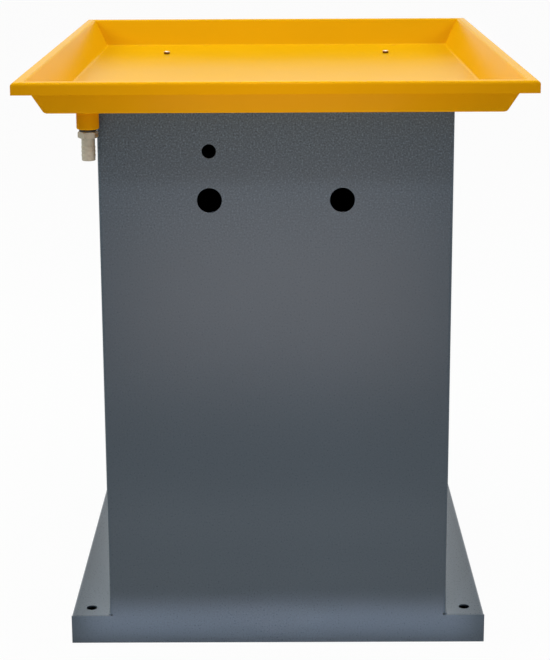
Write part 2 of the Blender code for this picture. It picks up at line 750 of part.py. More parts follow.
def main():
    for obj in list(bpy.data.objects):
        bpy.data.objects.remove(obj)
    front_panel()
    rear_panel()
    side_panel("left_side_panel", 0)
    side_panel("right_side_panel", math.pi)
    cabinet_floor()
    top_rail("front_top_rail", -BOLT_Y)
    top_rail("rear_top_rail", BOLT_Y)
    chip_tray()
    tray_bolts()
    drain()
    door_axis = add_axis("door_axis", (HINGE_X, HINGE_Y, 0))
    rear_door(door_axis)
    hinges(door_axis)
    turn_lock(door_axis)


main()
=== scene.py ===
import math

import bmesh
import bpy
from mathutils import Matrix, Vector


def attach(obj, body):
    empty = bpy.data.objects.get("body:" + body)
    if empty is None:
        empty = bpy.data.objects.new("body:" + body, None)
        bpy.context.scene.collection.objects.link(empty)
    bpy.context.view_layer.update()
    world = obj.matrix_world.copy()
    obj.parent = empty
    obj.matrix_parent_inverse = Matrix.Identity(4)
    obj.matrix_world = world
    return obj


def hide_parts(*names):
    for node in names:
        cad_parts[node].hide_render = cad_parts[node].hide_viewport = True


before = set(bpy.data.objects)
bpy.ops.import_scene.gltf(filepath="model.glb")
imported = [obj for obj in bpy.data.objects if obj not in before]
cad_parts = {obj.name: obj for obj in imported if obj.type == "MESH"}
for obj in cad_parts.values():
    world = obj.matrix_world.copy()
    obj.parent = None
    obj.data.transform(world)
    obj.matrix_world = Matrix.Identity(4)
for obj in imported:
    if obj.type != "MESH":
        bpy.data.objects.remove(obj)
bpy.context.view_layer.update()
scene = bpy.context.scene
scene.view_settings.view_transform = "Standard"
print("frame loaded,", len(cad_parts), "nodes")

photoCamera = {
    "place": (0.004557, -2.196957, 0.909028),
    "tilt": 12.7158,  # degrees down
    "yaw": -0.178,  # degrees to the right
    "roll": -0.2742,
    "lens": 93.517,
    "shift": -80 / 660,  # share of the picture's height
    "farthest": 60,
}


def setCamera(spec):
    data = bpy.data.cameras.new("photoCamera")
    data.lens = spec["lens"]
    data.shift_y = spec["shift"]
    data.clip_end = spec["farthest"]
    camera = bpy.data.objects.new("photoCamera", data)
    scene.collection.objects.link(camera)
    turn = Matrix.Rotation(math.radians(-spec["yaw"]), 4, "Z")
    turn @= Matrix.Rotation(math.radians(90 - spec["tilt"]), 4, "X")
    turn @= Matrix.Rotation(math.radians(spec["roll"]), 4, "Z")
    camera.matrix_world = Matrix.Translation(spec["place"]) @ turn
    scene.camera = camera


setCamera(photoCamera)

studio = {
    "skyLight": 0.255,  # level of the plain surround
    "skyColour": (1.0, 0.87, 0.92, 1),
    "floorSize": 24,
    "floorColour": (0.63, 0.605, 0.57, 1),
    "floorGlow": 0.965,  # share of plain white that the camera sees, the rest shows the shadow
    "underBase": (0.244, 0.298),  # half sizes of the patch that the stand covers
    # painted shade: the floor under the stand is near black
    "underPaintedShade": (0.05, 0.05, 0.05, 1),
    "underRough": 0.9,
    "lamps": (  # name, place, aim, width, height, power, colour, spread in degrees
        ("overhead", (0.0, -0.3, 2.9), (0, 0, 0.5), 2.6, 2.0, 17.4, (0.74, 1.0, 0.96), 180),
        ("leftSide", (-2.0, -0.2, 1.9), (0, 0, 0.4), 1.0, 1.0, 27, (0.85, 1.0, 0.97), 180),
        ("rightSide", (2.0, -0.2, 1.9), (0, 0, 0.4), 1.0, 1.0, 21, (0.85, 1.0, 0.97), 180),
        ("backdrop", (0.0, 1.5, 0.42), (0, 0, 0.30), 0.60, 0.30, 1.6, (0.97, 0.98, 1.0), 180),
        ("behind", (0.0, 1.2, 2.6), (0, 0.1, 0.6), 2.0, 0.8, 23, (0.76, 1.0, 0.96), 180),
        ("nearFront", (0.0, -0.95, 0.28), (0, -0.33, 0.52), 0.50, 0.30, 0.21, (1.0, 0.87, 0.86), 90),
        ("underLip", (0.0, -0.62, 0.12), (0, -0.36, 0.655), 0.36, 0.10, 0.115, (1.0, 0.84, 0.66), 50),
        ("frontKey", (0.0, -0.88, 1.36), (0, -0.33, 0.55), 0.06, 0.06, 0.60, (1.0, 0.92, 0.92), 80),
        ("floorBounce", (0.0, -0.62, 0.01), (0, -0.3, 0.12), 0.50, 0.08, 0.058, (0.90, 0.94, 1.0), 120),
        ("footBounce", (0.0, -0.46, 0.006), (0, -0.3, 0.06), 0.44, 0.03, 0.015, (0.90, 0.94, 1.0), 120),
        ("lowFront", (0.0, -0.60, 0.026), (0, -0.3, 0.026), 0.465, 0.026, 0.0565, (0.95, 0.90, 1.0), 14),
    ),
}


def seenDirectly(tree):
    path = tree.nodes.new("ShaderNodeLightPath")  # camera, mirror and glass rays see plain white
    both = tree.nodes.new("ShaderNodeMath")
    both.operation = "MAXIMUM"
    tree.links.new(path.outputs["Is Camera Ray"], both.inputs[0])
    tree.links.new(path.outputs["Is Glossy Ray"], both.inputs[1])
    every = tree.nodes.new("ShaderNodeMath")
    every.operation = "MAXIMUM"
    tree.links.new(both.outputs[0], every.inputs[0])
    tree.links.new(path.outputs["Is Transmission Ray"], every.inputs[1])
    return every.outputs[0]


def slit(bm, point, normal, **waste):
    everything = [*bm.verts, *bm.edges, *bm.faces]
    bmesh.ops.bisect_plane(bm, geom=everything, plane_co=point, plane_no=normal, **waste)


def setSurround(spec):
    world = bpy.data.worlds.new("whiteSurround")
    scene.world = world
    world.use_nodes = True
    tree = world.node_tree
    light = tree.nodes["Background"]
    light.inputs["Color"].default_value = spec["skyColour"]
    light.inputs["Strength"].default_value = spec["skyLight"]
    white = tree.nodes.new("ShaderNodeBackground")
    white.inputs["Color"].default_value = (1, 1, 1, 1)
    white.inputs["Strength"].default_value = 1
    pick = tree.nodes.new("ShaderNodeMixShader")
    tree.links.new(seenDirectly(tree), pick.inputs[0])
    tree.links.new(light.outputs[0], pick.inputs[1])
    tree.links.new(white.outputs[0], pick.inputs[2])
    tree.links.new(pick.outputs[0], tree.nodes["World Output"].inputs["Surface"])


def paleFloor(spec):
    paper = bpy.data.materials.new("paleFloor")
    paper.use_nodes = True
    tree = paper.node_tree
    tree.nodes.remove(tree.nodes["Principled BSDF"])
    matt = tree.nodes.new("ShaderNodeBsdfDiffuse")
    matt.inputs["Color"].default_value = spec["floorColour"]
    glow = tree.nodes.new("ShaderNodeEmission")
    share = tree.nodes.new("ShaderNodeMath")
    share.operation = "MULTIPLY"
    tree.links.new(seenDirectly(tree), share.inputs[0])
    share.inputs[1].default_value = spec["floorGlow"]
    pick = tree.nodes.new("ShaderNodeMixShader")
    tree.links.new(share.outputs[0], pick.inputs[0])
    tree.links.new(matt.outputs[0], pick.inputs[1])
    tree.links.new(glow.outputs[0], pick.inputs[2])
    tree.links.new(pick.outputs[0], tree.nodes["Material Output"].inputs["Surface"])
    return paper


def paintedShadeUnderBase(spec):
    shaded = bpy.data.materials.new("paintedShadeUnderBase")  # no glow where the stand covers it, and a near-black colour as painted shade
    shaded.use_nodes = True
    shader = shaded.node_tree.nodes["Principled BSDF"]
    shader.inputs["Base Color"].default_value = spec["underPaintedShade"]
    shader.inputs["Roughness"].default_value = spec["underRough"]
    return shaded


def layFloor(spec):
    bm = bmesh.new()
    bmesh.ops.create_grid(bm, x_segments=1, y_segments=1, size=spec["floorSize"])
    underX, underY = spec["underBase"]
    for side in (1, -1):
        slit(bm, (side * underX, 0, 0), (1, 0, 0))
    for side in (1, -1):
        slit(bm, (0, side * underY, 0), (0, 1, 0))
    for face in bm.faces:
        middle = face.calc_center_median()
        face.material_index = int(abs(middle.x) < underX and abs(middle.y) < underY)
    mesh = bpy.data.meshes.new("studioFloor")
    bm.to_mesh(mesh)
    bm.free()
    floor = bpy.data.objects.new("studioFloor", mesh)
    scene.collection.objects.link(floor)
    mesh.materials.append(paleFloor(spec))
    mesh.materials.append(paintedShadeUnderBase(spec))


def hangLamps(spec):
    for name, spot, aim, width, height, power, colour, cone in spec["lamps"]:
        data = bpy.data.lights.new(name, "AREA")
        data.shape = "RECTANGLE"
        data.size = width
        data.size_y = height
        data.energy = power
        data.color = colour
        data.spread = math.radians(cone)
        lamp = bpy.data.objects.new(name, data)
        scene.collection.objects.link(lamp)
        lamp.location = spot
        lamp.rotation_euler = (Vector(aim) - Vector(spot)).to_track_quat("-Z", "Y").to_euler()
        lamp.visible_camera = False


setSurround(studio)
layFloor(studio)
hangLamps(studio)
print("camera, floor and light set")

noiseSpan = (0.30, 0.70)  # most of a noise lies between these


def startFinish(name):
    finish = bpy.data.materials.new(name)
    finish.use_nodes = True
    tree = finish.node_tree
    coords = tree.nodes.new("ShaderNodeTexCoord")
    return finish, tree, tree.nodes["Principled BSDF"], coords.outputs["Object"]


def grain(tree, coords, scale, detail=2.0, rough=0.5, stretch=None):
    noise = tree.nodes.new("ShaderNodeTexNoise")
    noise.inputs["Scale"].default_value = scale
    noise.inputs["Detail"].default_value = detail
    noise.inputs["Roughness"].default_value = rough
    if stretch:
        mapping = tree.nodes.new("ShaderNodeMapping")
        mapping.inputs["Scale"].default_value = stretch
        tree.links.new(coords, mapping.inputs["Vector"])
        coords = mapping.outputs["Vector"]
    tree.links.new(coords, noise.inputs["Vector"])
    return noise.outputs["Fac"]


def ramp(tree, source, stops):
    node = tree.nodes.new("ShaderNodeValToRGB")
    points = node.color_ramp.elements
    while len(points) < len(stops):
        points.new(0.5)
    for point, (stop, colour) in zip(points, stops):
        point.position = stop
        point.color = colour if len(colour) == 4 else (*colour, 1)
    tree.links.new(source, node.inputs["Fac"])
    return node.outputs["Color"]


def spread(tree, source, low, high, fromLow=noiseSpan[0], fromHigh=noiseSpan[1]):
    node = tree.nodes.new("ShaderNodeMapRange")
    for socket, value in zip(("From Min", "From Max", "To Min", "To Max"), (fromLow, fromHigh, low, high)):
        node.inputs[socket].default_value = value
    tree.links.new(source, node.inputs["Value"])
    return node.outputs["Result"]


def mixed(tree, factor, first, second, how="MIX"):
    node = tree.nodes.new("ShaderNodeMix")
    node.data_type = "RGBA"
    node.blend_type = how
    sockets = [socket for socket in node.inputs if socket.type == "RGBA"]
    for socket, value in zip([node.inputs["Factor"], *sockets], (factor, first, second)):
        if isinstance(value, (int, float, tuple)):
            socket.default_value = value
        else:
            tree.links.new(value, socket)
    return [socket for socket in node.outputs if socket.type == "RGBA"][0]


def parted(tree, vector):
    node = tree.nodes.new("ShaderNodeSeparateXYZ")
    tree.links.new(vector, node.inputs[0])
    return node.outputs


def relief(tree, shader, layers):
    below = None
    for height, strength, distance in layers:
        node = tree.nodes.new("ShaderNodeBump")
        node.inputs["Strength"].default_value = strength
        node.inputs["Distance"].default_value = distance
        tree.links.new(height, node.inputs["Height"])
        if below:
            tree.links.new(below, node.inputs["Normal"])
        below = node.outputs["Normal"]
    tree.links.new(below, shader.inputs["Normal"])


def tinted(colour, share):
    return tuple(min(1, channel * share) for channel in colour[:3]) + (1,)


def shades(colour, tints):
    return [(stop, tinted(colour, share)) for stop, share in tints]


powderCoat = {  # grains give a scale in a metre, detail and roughness, depths a strength and a distance
    "colour": (0.052, 0.076, 0.101),
    "fleckGrain": (520, 3, 0.6),
    "fleck": (0.10, 0.80),  # how far a fleck is lighter or darker, low down and high up; the stronger flecks high up are painted grazing light
    "fleckTints": ((0.30, -0.5), (0.50, 0), (0.70, 2)),  # dark flecks are weaker than light ones
    "grazingLightHeight": (0.46, 0.60),
    "fleckDepth": (0.30, 0.0002),
    "cloudGrain": (5, 3, 0.5),
    "mottle": 0.04,
    "peelGrain": (210, 2, 0.5),
    "peelDepth": (0.08, 0.0006),
    "rough": (0.26, 0.34),
    "gloss": 0.42,
    "paintedTopLight": (0.23, 0.265, 0.31),  # painted highlight colour on faces that look up
    "paintedTopLightShare": 0.72,
    "paintedTopLightReach": (0.200, 0.240),  # painted light strongest beside the column, gone at the outer edge
    "paintedTopLightFacing": (0.90, 0.98),
}


def greyPowderCoat(spec):
    finish, tree, shader, coords = startFinish("greyPowderCoat")
    fleck = grain(tree, coords, *spec["fleckGrain"])
    spot = parted(tree, coords)
    fine, grazingLitFlecks = (
        ramp(tree, fleck, [
            (stop, tinted(spec["colour"], 1 + depth * share)) for stop, share in spec["fleckTints"]
        ])
        for depth in spec["fleck"]
    )
    # painted grazing light: flecks grow stronger and lighter towards the top
    flecks = mixed(tree, spread(tree, spot["Z"], 0, 1, *spec["grazingLightHeight"]), fine, grazingLitFlecks)
    cloud = grain(tree, coords, *spec["cloudGrain"])
    clouds = ramp(tree, cloud, (
        (noiseSpan[0], (1 - spec["mottle"],) * 3),
        (noiseSpan[1], (1 + spec["mottle"],) * 3),
    ))
    paint = mixed(tree, 1.0, flecks, clouds, "MULTIPLY")
    outward = tree.nodes.new("ShaderNodeMath")
    outward.operation = "ABSOLUTE"
    tree.links.new(spot["X"], outward.inputs[0])
    # painted light: faces that look up are lightened, most beside the column
    topLightAmount = spread(tree, outward.outputs[0], spec["paintedTopLightShare"], 0, *spec["paintedTopLightReach"])
    topLit = mixed(tree, topLightAmount, paint, spec["paintedTopLight"] + (1,))
    geometry = tree.nodes.new("ShaderNodeNewGeometry")
    facing = parted(tree, geometry.outputs["True Normal"])
    base = mixed(tree, spread(tree, facing["Z"], 0, 1, *spec["paintedTopLightFacing"]), paint, topLit)
    tree.links.new(base, shader.inputs["Base Color"])
    tree.links.new(spread(tree, fleck, *spec["rough"]), shader.inputs["Roughness"])
    shader.inputs["Specular IOR Level"].default_value = spec["gloss"]
    peel = grain(tree, coords, *spec["peelGrain"])
    relief(tree, shader, ((peel, *spec["peelDepth"]), (fleck, *spec["fleckDepth"])))
    return finish


enamel = {
    "colour": (0.835, 0.384, 0.003),
    "cloudGrain": (4.5, 3, 0.55),
    "cloud": 0.02,
    "hazeGrain": (12, 2, 0.5),
    "rough": (0.17, 0.21),
    "gloss": 0.0068,
}


def yellowEnamel(spec):
    finish, tree, shader, coords = startFinish("yellowEnamel")
    cloud = grain(tree, coords, *spec["cloudGrain"])
    tints = zip(noiseSpan, (1 - spec["cloud"], 1 + spec["cloud"]))
    base = ramp(tree, cloud, shades(spec["colour"], tints))
    tree.links.new(base, shader.inputs["Base Color"])
    shader.inputs["Specular IOR Level"].default_value = spec["gloss"]
    haze = grain(tree, coords, *spec["hazeGrain"])
    tree.links.new(spread(tree, haze, *spec["rough"]), shader.inputs["Roughness"])
    return finish


plating = {
    "zinc": ((0.74, 0.62, 0.57), (0.22, 0.32), 1.0),  # colour, roughness, share of bare metal
    "nickel": ((0.42, 0.385, 0.305), (0.52, 0.62), 0.35),
    "bloomGrain": (340, 4, 0.6),
    "bloomTints": ((0.30, 0.92), (0.52, 1), (0.74, 1.06)),
    "bloomDepth": (0.02, 0.0003),
    "marksGrain": (900, 3, 0.7, (1, 1, 6)),  # fine marks across the height
    "marksDepth": (0.04, 0.0002),
}
boltFlankShade = {  # painted shade on the flanks of the tray bolts, below their light tops
    "colour": (0.16, 0.085, 0.03),
    "low": 0.6455,
    "high": 0.6490,
    "soft": 0.0003,
}


def platedMetal(name, colour, rough, metal, shadeBand=None):
    finish, tree, shader, coords = startFinish(name)
    bloom = grain(tree, coords, *plating["bloomGrain"])
    base = ramp(tree, bloom, shades(colour, plating["bloomTints"]))
    if shadeBand:
        # painted shade: a dark band over the height of the bolt flanks
        height = parted(tree, coords)["Z"]
        aboveLow, aboveHigh = (
            spread(tree, height, 0, 1, shadeBand[end], shadeBand[end] + shadeBand["soft"]) for end in ("low", "high")
        )
        base = mixed(tree, aboveHigh, mixed(tree, aboveLow, base, shadeBand["colour"] + (1,)), base)
    tree.links.new(base, shader.inputs["Base Color"])
    shader.inputs["Metallic"].default_value = metal
    marks = grain(tree, coords, *plating["marksGrain"])
    tree.links.new(spread(tree, marks, *rough), shader.inputs["Roughness"])
    relief(tree, shader, ((marks, *plating["marksDepth"]), (bloom, *plating["bloomDepth"])))
    return finish


mouldings = {
    "blackRubber": ((0.016, 0.016, 0.016), (0.62, 0.78), 1500),  # colour, roughness, scale of the pebbles
    "blackPlastic": ((0.022, 0.022, 0.024), (0.42, 0.55), 1100),
    "tints": ((0.30, 0.8), (0.70, 1.25)),
    "depth": (0.15, 0.0002),
}


def moulded(name, colour, rough, scale):
    finish, tree, shader, coords = startFinish(name)
    pebble = grain(tree, coords, scale)
    base = ramp(tree, pebble, shades(colour, mouldings["tints"]))
    tree.links.new(base, shader.inputs["Base Color"])
    tree.links.new(spread(tree, pebble, *rough), shader.inputs["Roughness"])
    relief(tree, shader, ((pebble, *mouldings["depth"]),))
    return finish


finishes = {
    "grey_paint": greyPowderCoat(powderCoat),
    "yellow_paint": yellowEnamel(enamel),
    "zinc": platedMetal("zincPlate", *plating["zinc"], boltFlankShade),
    "nickel": platedMetal("nickelPlate", *plating["nickel"]),
    "rubber": moulded("blackRubber", *mouldings["blackRubber"]),
    "black_plastic": moulded("blackPlastic", *mouldings["blackPlastic"]),
}
print("finishes made:", ", ".join(finish.name for finish in finishes.values()))

nearly = 1e-6  # lengths closer than this are the same
sameSpot = 1e-7


def toObject(name, bm):
    for face in bm.faces:
        face.smooth = True
    mesh = bpy.data.meshes.new(name)
    bm.to_mesh(mesh)
    bm.free()
    made = bpy.data.objects.new(name, mesh)
    scene.collection.objects.link(made)
    return made


def addPiece(name, bm, slotName, body, *nodes):
    piece = toObject(name, bm)
    piece.data.materials.append(finishes[slotName])
    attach(piece, body)
    if nodes:
        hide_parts(*nodes)
    return piece


def looseShape(bm):
    return toObject("looseShape", bm)  # a tool, or a shape that is copied into a piece


def drop(shape):
    mesh = shape.data
    bpy.data.objects.remove(shape)
    bpy.data.meshes.remove(mesh)


def drill(diameter, axis, centre, depth=0.012, sides=72):
    bm = bmesh.new()
    turn = Matrix.Rotation(math.pi / 2, 4, "X") if axis == "Y" else Matrix()
    bmesh.ops.create_cone(
        bm, cap_ends=True, segments=sides, radius1=diameter / 2, radius2=diameter / 2, depth=depth,
        matrix=Matrix.Translation(centre) @ turn,
    )
    return looseShape(bm)


def blade(low, high):
    low, high = Vector(low), Vector(high)
    bm = bmesh.new()
    size = Matrix.Diagonal((*(high - low), 1))
    bmesh.ops.create_cube(bm, size=1, matrix=Matrix.Translation((low + high) / 2) @ size)
    return looseShape(bm)


def work(piece, wall=0, tools=(), keepInside=None, edge=0.0004, rounds=2, sharp=38):
    if wall:
        skin = piece.modifiers.new("wall", "SOLIDIFY")
        skin.thickness = wall
        skin.offset = -1
        skin.use_even_offset = True
    for tool in tools:
        cut = piece.modifiers.new("cut", "BOOLEAN")
        cut.operation = "DIFFERENCE"
        cut.object = tool
    if keepInside:
        trim = piece.modifiers.new("trim", "BOOLEAN")
        trim.operation = "INTERSECT"
        trim.object = keepInside
    if edge:
        soft = piece.modifiers.new("edge", "BEVEL")
        soft.width = edge
        soft.segments = rounds
        soft.limit_method = "ANGLE"
        soft.angle_limit = math.radians(sharp)
        soft.use_clamp_overlap = True
    flat = piece.modifiers.new("flats", "WEIGHTED_NORMAL")
    flat.keep_sharp = True
    graph = bpy.context.evaluated_depsgraph_get()
    done = bpy.data.meshes.new_from_object(piece.evaluated_get(graph))
    piece.modifiers.clear()
    rough = piece.data
    piece.data = done
    done.name = piece.name
    bpy.data.meshes.remove(rough)
    for tool in tools:
        drop(tool)
    if keepInside:
        drop(keepInside)
    return piece


def faceOut(bm, outward):
    bmesh.ops.recalc_face_normals(bm, faces=bm.faces)
    widest = max(bm.faces, key=lambda face: face.calc_area())
    if widest.normal.dot(Vector(outward)) < 0:
        bmesh.ops.reverse_faces(bm, faces=bm.faces)


def turnRound(bm, angle, axis):
    bmesh.ops.rotate(bm, cent=(0, 0, 0), matrix=Matrix.Rotation(angle, 3, axis), verts=bm.verts)


def shift(bm, by):
    bmesh.ops.translate(bm, vec=by, verts=bm.verts)


def placed(bm, matrix):
    bmesh.ops.transform(bm, matrix=matrix, verts=bm.verts)
    return bm


def blank(xLines, zLines, keep=None):
    bm = bmesh.new()  # flat sheet in the XZ plane, slit along the lines
    bmesh.ops.create_grid(bm, x_segments=1, y_segments=1, size=0.5)
    bmesh.ops.scale(bm, vec=(xLines[-1] - xLines[0], zLines[-1] - zLines[0], 1), verts=bm.verts)
    turnRound(bm, math.pi / 2, "X")
    shift(bm, ((xLines[0] + xLines[-1]) / 2, 0, (zLines[0] + zLines[-1]) / 2))
    for x in xLines[1:-1]:
        slit(bm, (x, 0, 0), (1, 0, 0))
    for z in zLines[1:-1]:
        slit(bm, (0, 0, z), (0, 0, 1))
    if keep:
        waste = [face for face in bm.faces if not keep(face.calc_center_median())]
        bmesh.ops.delete(bm, geom=waste, context="FACES")
    return bm


def flatSheet(half, top, y=0):
    halfX, halfY = half
    bm = blank([-halfX, halfX], [-halfY, halfY])
    turnRound(bm, -math.pi / 2, "X")
    shift(bm, (0, y, top))
    return bm


def fold(bm, edges, direction):
    made = bmesh.ops.extrude_edge_only(bm, edges=edges)["geom"]
    corners = [item for item in made if isinstance(item, bmesh.types.BMVert)]
    bmesh.ops.translate(bm, verts=corners, vec=direction)
    return corners


def rollBend(bm, edges, radius, turn=math.pi / 2, steps=8):
    bmesh.ops.bevel(
        bm, geom=edges, offset=radius * math.tan(turn / 2), offset_type="OFFSET", segments=steps, profile=0.5,
        affect="EDGES", material=-1,
    )


sheet = {
    "wall": 0.002,
    "bend": 0.003,
    "fit": 0.0003,  # gap between neighbours
    "overcut": 0.001,  # how far a tool goes past what it cuts
}

tray = {
    "floorHalf": (0.2498, 0.3473),
    "floorTop": 0.6463,
    "depth": 0.036,
    "wallRun": 0.0195,  # how far a wall leans out
    "rim": 0.0132,
    "lip": 0.0135,
    "bend": 0.004,
    "drain": (-0.207, -0.32365),
    "drainHole": 0.017,
    "boltHole": 0.0056,
    "boltHalf": (0.1545, 0.229),  # half the distance between bolts
}
boltX, boltY = tray["boltHalf"]
boltPlaces = {
    "front_left": (-boltX, -boltY),
    "front_right": (boltX, -boltY),
    "rear_left": (-boltX, boltY),
    "rear_right": (boltX, boltY),
}


def makeTray(spec):
    halfX, halfY = spec["floorHalf"]
    bm = bmesh.new()
    bmesh.ops.create_grid(bm, x_segments=1, y_segments=1, size=1)
    bmesh.ops.scale(bm, vec=(halfX, halfY, 1), verts=bm.verts)
    lean = math.atan2(spec["depth"], spec["wallRun"])
    strips = ((spec["wallRun"], spec["depth"], lean), (spec["rim"], 0, lean), (0, -spec["lip"], math.pi / 2))
    bends = []
    for grow, rise, turn in strips:
        edges = [edge for edge in bm.edges if edge.is_boundary]
        for corner in fold(bm, edges, (0, 0, rise)):
            corner.co.x += math.copysign(grow, corner.co.x)
            corner.co.y += math.copysign(grow, corner.co.y)
        bends.append((edges, turn))
    for edges, turn in bends:
        rollBend(bm, edges, spec["bend"], turn)

    shift(bm, (0, 0, spec["floorTop"]))
    faceOut(bm, (0, 0, 1))
    pan = addPiece("trayPan", bm, "yellow_paint", "stand", "chip_tray")
    level = spec["floorTop"] - sheet["wall"] / 2
    tools = [drill(spec["boltHole"], "Z", (*spot, level)) for spot in boltPlaces.values()]
    tools.append(drill(spec["drainHole"], "Z", (*spec["drain"], level)))
    work(pan, sheet["wall"], tools)


makeTray(tray)
print("tray folded")

column = {
    "half": (0.200, 0.300),
    "height": 0.644,
    "baseHalf": 0.246,
    "baseHeight": 0.0345,
    "return": 0.020,  # fold along the upright edges
    "reliefHeight": 0.0018,  # slot that ends that fold above the base
    "reliefDepth": 0.0036,
    "hoseHoles": (  # x, z, diameter
        (-0.075, 0.5385, 0.028),
        (0.075, 0.5385, 0.028),
        (-0.075, 0.5945, 0.016),
    ),
    "doorway": (0.153, 0.087, 0.573),  # half width, sill, head
    "doorwayFold": 0.015,
}


def teePanel(spec, doorway):
    halfX = spec["half"][0]
    low, notch = spec["baseHeight"], spec["baseHeight"] + spec["reliefHeight"]
    wayHalf, sill, head = spec["doorway"]

    def keep(middle):
        if middle.z < low:
            return True
        if abs(middle.x) > halfX or (middle.z < notch and abs(middle.x) > halfX - spec["reliefDepth"]):
            return False
        return not (doorway and abs(middle.x) < wayHalf and sill < middle.z < head)

    right = [halfX - spec["reliefDepth"], halfX, spec["baseHalf"], *([wayHalf] if doorway else [])]
    levels = [0, low, notch, spec["height"], *([sill, head] if doorway else [])]
    bm = blank(sorted([-x for x in right] + right), sorted(levels), keep)
    sides, doorwayEdges = [], []
    for edge in [edge for edge in bm.edges if edge.is_boundary]:
        middle = (edge.verts[0].co + edge.verts[1].co) / 2
        if abs(abs(middle.x) - halfX) < nearly and middle.z > notch:
            sides.append(edge)
        elif doorway and abs(middle.x) < wayHalf + nearly and sill - nearly < middle.z < head + nearly:
            doorwayEdges.append(edge)
    fold(bm, sides, (0, spec["return"], 0))
    if doorwayEdges:
        fold(bm, doorwayEdges, (0, spec["doorwayFold"], 0))
    rollBend(bm, sides + doorwayEdges, sheet["bend"])
    faceOut(bm, (0, -1, 0))
    return bm


def makeEndPanels(spec):
    halfY = spec["half"][1]
    bm = teePanel(spec, False)
    shift(bm, (0, -halfY, 0))
    front = addPiece("frontPanel", bm, "grey_paint", "stand", "front_panel")
    middle = sheet["wall"] / 2 - halfY
    work(front, sheet["wall"], [drill(size, "Y", (x, middle, z)) for x, z, size in spec["hoseHoles"]])
    bm = teePanel(spec, True)
    turnRound(bm, math.pi, "Z")
    shift(bm, (0, halfY, 0))
    work(addPiece("rearPanel", bm, "grey_paint", "stand", "rear_panel"), sheet["wall"])


makeEndPanels(column)

sideWall = {
    "topFlange": 0.060,
    "skirtLip": 0.012,
    "insideBend": 0.0035,  # where a side turns out into the flange
    "anchorHole": 0.0125,
    "anchors": (0.224, 0.276),
}


def makeSidePanel(spec, side):
    halfX, halfY = column["half"]
    top, base, foot = column["height"], column["baseHeight"], column["baseHalf"]
    reach = halfY - sheet["wall"] - sheet["fit"]
    bm = bmesh.new()
    line = [bm.verts.new((spec["topFlange"] - halfX, y, top)) for y in (-reach, reach)]
    edge = bm.edges.new(line)
    steps = (  # from the top flange down to the lip under the skirt
        (-spec["topFlange"], 0, 0),
        (0, 0, base - top),
        (halfX - foot, 0, 0),
        (0, 0, -base),
        (spec["skirtLip"], 0, 0),
    )
    bends = []
    for step in steps:
        ends = fold(bm, [edge], step)
        edge = next(link for link in ends[0].link_edges if link.other_vert(ends[0]) in ends)
        bends.append(edge)
    for edge, radius in zip(bends, (sheet["bend"], spec["insideBend"], sheet["bend"], sheet["bend"])):
        rollBend(bm, [edge], radius)
    faceOut(bm, (-1, 0, 0))
    if side > 0:
        turnRound(bm, math.pi, "Z")
    name = "left" if side < 0 else "right"
    wall = addPiece(name + "SidePanel", bm, "grey_paint", "stand", name + "_side_panel")
    tools = []
    inner = side * (halfX - spec["topFlange"] - sheet["wall"])
    outer = side * (halfX + sheet["wall"])
    anchorX, anchorY = spec["anchors"]
    half = sheet["wall"] / 2
    for end in (-1, 1):
        near, far = end * (halfY - column["return"] - sheet["fit"]), end * (halfY + sheet["overcut"])
        low = (min(inner, outer), min(near, far), base + column["reliefHeight"])
        tools.append(blade(low, (max(inner, outer), max(near, far), top + sheet["wall"])))
        tools.append(drill(spec["anchorHole"], "Z", (side * anchorX, end * anchorY, base - half)))
        tools.append(drill(tray["boltHole"], "Z", (side * boltX, end * boltY, top - half)))
    work(wall, sheet["wall"], tools)


for side in (-1, 1):
    makeSidePanel(sideWall, side)
print("column panels folded")

cabinetFloor = {"half": (0.1977, 0.2977), "top": column["baseHeight"], "lip": 0.025}
rails = {"half": (0.195, 0.030), "top": 0.6417, "leg": 0.030, "wall": 0.003, "bend": 0.004}


def makeCabinetFloor(spec):
    bm = flatSheet(spec["half"], spec["top"])
    rims = list(bm.edges)
    fold(bm, rims, (0, 0, -spec["lip"]))
    rollBend(bm, rims, sheet["bend"])
    faceOut(bm, (0, 0, 1))
    work(addPiece("cabinetFloor", bm, "grey_paint", "stand", "cabinet_floor"), sheet["wall"])


def makeRail(spec, end):
    bm = flatSheet(spec["half"], spec["top"], end * boltY)
    long = [edge for edge in bm.edges if edge.calc_length() > spec["half"][0]]
    fold(bm, long, (0, 0, -spec["leg"]))
    rollBend(bm, long, spec["bend"])
    faceOut(bm, (0, 0, 1))
    name = "front" if end < 0 else "rear"
    rail = addPiece(name + "TopRail", bm, "grey_paint", "stand", name + "_top_rail")
    level = spec["top"] - spec["wall"] / 2
    tools = [drill(tray["boltHole"], "Z", (x, end * boltY, level)) for x in (-boltX, boltX)]
    work(rail, spec["wall"], tools)


makeCabinetFloor(cabinetFloor)
for end in (-1, 1):
    makeRail(rails, end)
print("cabinet floor and rails folded")


def spinFull(bm, geom, steps):
    bmesh.ops.spin(
        bm, geom=geom, cent=(0, 0, 0), axis=(0, 0, 1), angle=2 * math.pi, steps=steps, use_merge=True,
    )


def turned(profile, steps=72, bored=True):
    bm = bmesh.new()  # profile of radius and height, spun round Z
    verts = [bm.verts.new((radius, 0, height)) for radius, height in profile]
    following = verts[1:] + verts[:1] if bored else verts[1:]
    edges = [bm.edges.new(pair) for pair in zip(verts, following)]
    spinFull(bm, [*verts, *edges], steps)
    bmesh.ops.remove_doubles(bm, verts=bm.verts, dist=sameSpot)
    bmesh.ops.recalc_face_normals(bm, faces=bm.faces)
    return bm


def addTo(bm, shape):
    bm.from_mesh(shape.data)
    drop(shape)


hexagon = {
    "chamferStart": 0.97,  # share of the flats
    "chamferAngle": 30,  # degrees
    "chamferSteps": 96,
    "clear": 0.0004,  # turning tool past the corners
    "edge": 0.00012,
}


